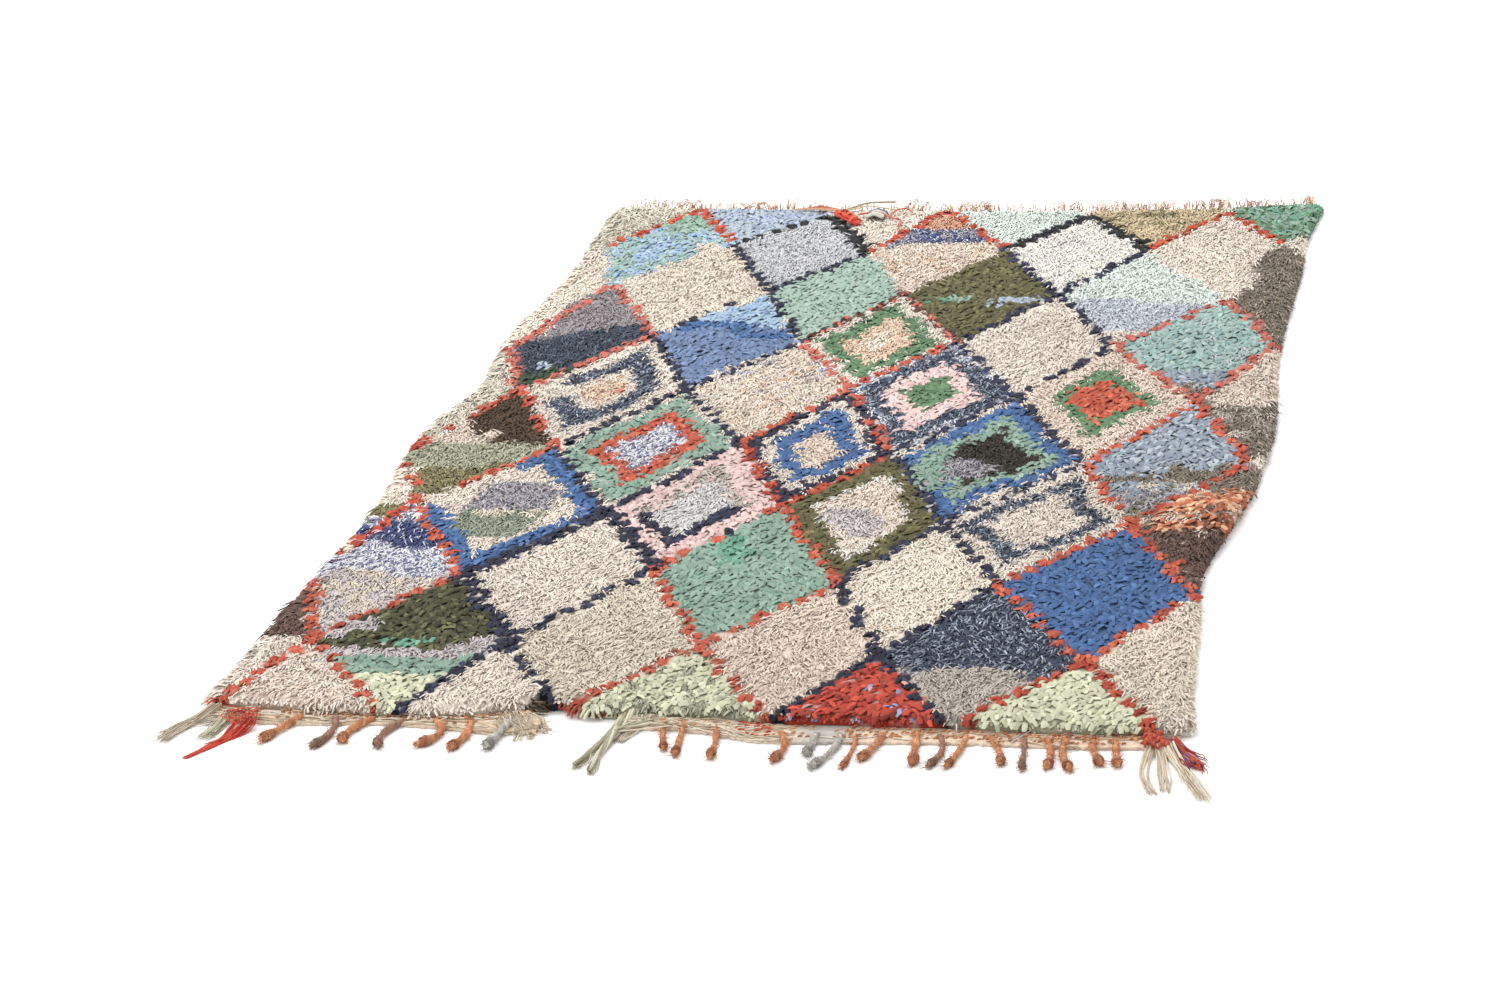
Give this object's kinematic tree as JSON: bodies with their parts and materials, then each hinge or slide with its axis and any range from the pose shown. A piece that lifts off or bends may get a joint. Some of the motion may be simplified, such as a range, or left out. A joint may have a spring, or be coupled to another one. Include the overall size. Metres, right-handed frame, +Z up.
{
  "type": "boucherouite rug",
  "caption": "Hand-knotted rag and wool rug with a lattice of diamonds, flat-woven ends, tasselled warp ends and a torn notch, lying flat.",
  "frame": {"origin": "on the floor under the middle of the rug's footprint, fringes included", "axes": "+X across the rug, to the right of someone who stands at the torn end; +Y along the rug, from the torn end to the far end; +Z up, out of the pile"},
  "size_m": [1.5026, 2.5336, 0.0392],
  "materials": {
    "pile_and_weave": "shaggy pile of undyed wool and cotton rags, with flat-woven wool ends",
    "orange_warp": "twisted orange and brown wool warp, knotted at the tips",
    "cream_warp": "loose cream and grey-green warp strands",
    "coral_yarn": "coral wool overcasting yarn",
    "red_rag": "torn red cotton rags"
  },
  "bodies": {
    "root": {"rug_cloth": "pile_and_weave", "fringe_near_left": "orange_warp", "fringe_near_right": "orange_warp", "fringe_far": "orange_warp", "corner_tassel_left": "cream_warp", "corner_tassel_right": "cream_warp", "notch_cords": "cream_warp", "notch_edge_cord": "coral_yarn", "red_rag_left": "red_rag", "red_rag_bundle": "red_rag"}
  },
  "joints": []
}
